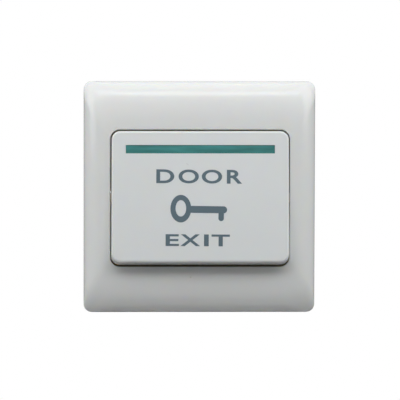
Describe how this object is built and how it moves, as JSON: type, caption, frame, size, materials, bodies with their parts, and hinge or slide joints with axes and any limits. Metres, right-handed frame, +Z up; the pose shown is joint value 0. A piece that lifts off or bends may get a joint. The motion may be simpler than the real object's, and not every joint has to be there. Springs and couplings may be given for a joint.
{
  "type": "door exit button",
  "caption": "Flush wall plate with a large sprung rocker that is pressed to release a door, with its contact mechanism behind it.",
  "frame": {"origin": "centre of the plate in the plane of the wall that it is screwed to", "axes": "+Z up the wall, +Y into the wall, so the front faces -Y, and +X to the right as seen from the front"},
  "size_m": [0.086, 0.0357, 0.086],
  "materials": {
    "gloss_white": "glossy moulded white plastic",
    "satin_white": "satin moulded white plastic",
    "green_inlay": "semi-gloss blue-green plastic",
    "legend_ink": "slate grey pad printing ink",
    "base_white": "matt off-white moulded plastic",
    "mechanism_grey": "matt light grey moulded plastic",
    "plunger_white": "matt natural white acetal",
    "brass": "stamped brass, slightly dull",
    "silver": "silver alloy contact",
    "zinc_steel": "zinc plated steel",
    "spring_steel": "drawn spring wire"
  },
  "bodies": {
    "root": {"surround": "gloss_white", "mounting_base": "base_white", "mechanism_cover": "mechanism_grey", "cover_screws": "zinc_steel", "return_spring": "spring_steel", "com_terminal": "brass", "com_contact": "silver", "com_screw": "zinc_steel", "com_clamp": "zinc_steel", "no_terminal": "brass", "no_contact": "silver", "no_screw": "zinc_steel", "no_clamp": "zinc_steel"},
    "button": {"rocker": "satin_white", "green_strip": "green_inlay"},
    "plunger": {"plunger": "plunger_white", "contact_bridge": "brass", "bridge_contact_left": "silver", "bridge_contact_right": "silver", "contact_spring": "spring_steel"}
  },
  "joints": [
    {"name": "rocker_hinge", "type": "hinge", "parent": "root", "child": "button", "pos_m": [0, -0.006, 0], "axis": [1, 0, 0], "range_deg": [0, 7], "stiffness_Nm_per_rad": 0.2, "springref_deg": -5.73},
    {"name": "plunger_slide", "type": "slide", "parent": "root", "child": "plunger", "axis": [0, 1, 0], "range_m": [0, 0.00172], "deforming": ["return_spring"]}
  ],
  "couplings": [
    {"joint": "plunger_slide", "follows": "rocker_hinge", "m_per_rad": 0.01397}
  ]
}
